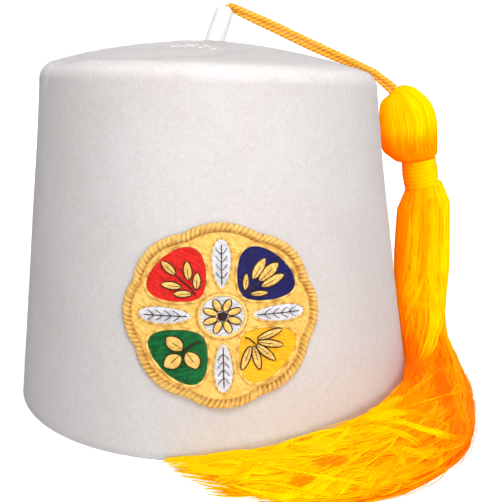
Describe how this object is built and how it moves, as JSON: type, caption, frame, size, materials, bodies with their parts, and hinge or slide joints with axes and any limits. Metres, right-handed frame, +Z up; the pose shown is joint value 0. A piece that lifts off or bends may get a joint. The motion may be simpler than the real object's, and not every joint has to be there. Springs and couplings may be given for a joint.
{
  "type": "fez hat",
  "caption": "White felt fez: tapered oval crown with a stem on top, a doubled cord, a long gold tassel that lies round the rim, and a scalloped embroidered patch on the front.",
  "frame": {"origin": "centre of the head opening, in the plane of the rim", "axes": "+Z up through the crown, -Y towards the front with the patch, +X towards the side where the tassel hangs"},
  "size_m": [0.1915, 0.2492, 0.1627],
  "materials": {
    "white_felt": "pressed wool felt, fine matted fibres",
    "white_stem": "smooth white tube, cut square",
    "gold_cord": "two-ply twisted cord, soft sheen",
    "yellow_silk": "long glossy strands",
    "gold_thread": "satin stitch",
    "cream_twill": "fine twill ground",
    "red_thread": "satin stitch",
    "navy_thread": "satin stitch",
    "green_thread": "satin stitch",
    "white_thread": "satin stitch"
  },
  "bodies": {
    "root": {"crown": "white_felt", "stem": "white_stem", "cord_strand_1": "gold_cord", "cord_strand_2": "gold_cord", "tassel": "yellow_silk", "neck_wrap": "yellow_silk", "patch_base": "cream_twill", "patch_border": "gold_thread", "patch_centre": "white_thread", "petal_navy": "navy_thread", "petal_red": "red_thread", "petal_green": "green_thread", "petal_gold": "gold_thread", "leaf_right": "white_thread", "leaf_top": "white_thread", "leaf_left": "white_thread", "leaf_bottom": "white_thread"}
  },
  "joints": []
}
